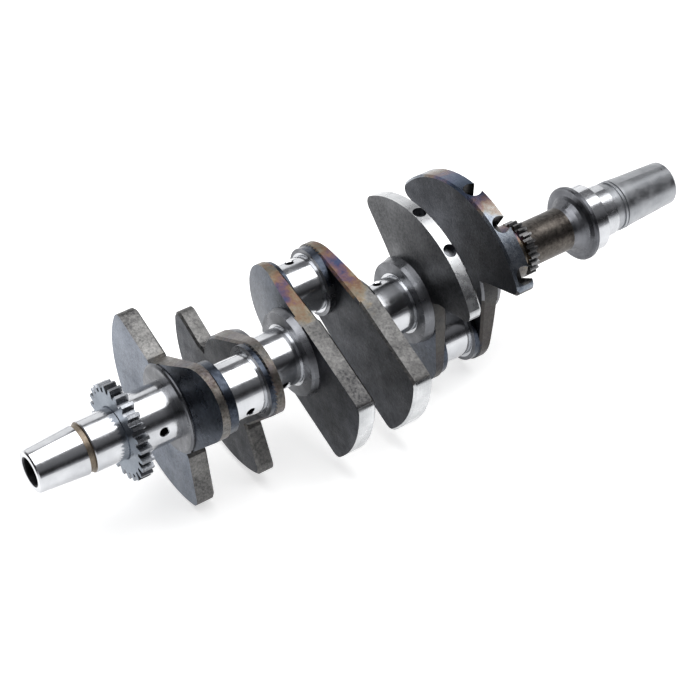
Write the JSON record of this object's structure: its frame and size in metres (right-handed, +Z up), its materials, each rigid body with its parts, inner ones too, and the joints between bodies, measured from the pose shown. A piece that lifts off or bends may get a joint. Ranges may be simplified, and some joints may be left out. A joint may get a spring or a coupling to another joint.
{
  "type": "crankshaft",
  "caption": "Forged plain-bearing crankshaft for an in-line triple, with evenly spaced throws, counterweights, a balancer drive gear, a timing sprocket and tapered ends",
  "frame": {"origin": "On the shaft's rotation axis, at the middle of the middle crankpin's length", "axes": "+X runs along the rotation axis from the power take-off taper to the magneto taper, +Z is up, and +Y completes the right-handed frame; angles about the axis count from +Y towards +Z"},
  "size_m": [0.4459, 0.1275, 0.1264],
  "materials": {
    "forged_steel": "forged and shot-blasted webs, ground and polished journals",
    "gear_steel": "satin hobbed gear steel",
    "hardened_pin": "ground hardened pin",
    "bearing_steel": "ground bearing race",
    "key_steel": "plain machined key",
    "plug_steel": "pressed steel plug"
  },
  "bodies": {
    "root": {"crankshaft_forging": "forged_steel", "balancer_drive_gear": "gear_steel", "gear_lock_pin": "hardened_pin", "bearing_inner_ring": "bearing_steel", "magneto_woodruff_key": "key_steel", "oil_gallery_plug_1": "plug_steel", "oil_gallery_plug_2": "plug_steel", "oil_gallery_plug_3": "plug_steel"}
  },
  "joints": []
}
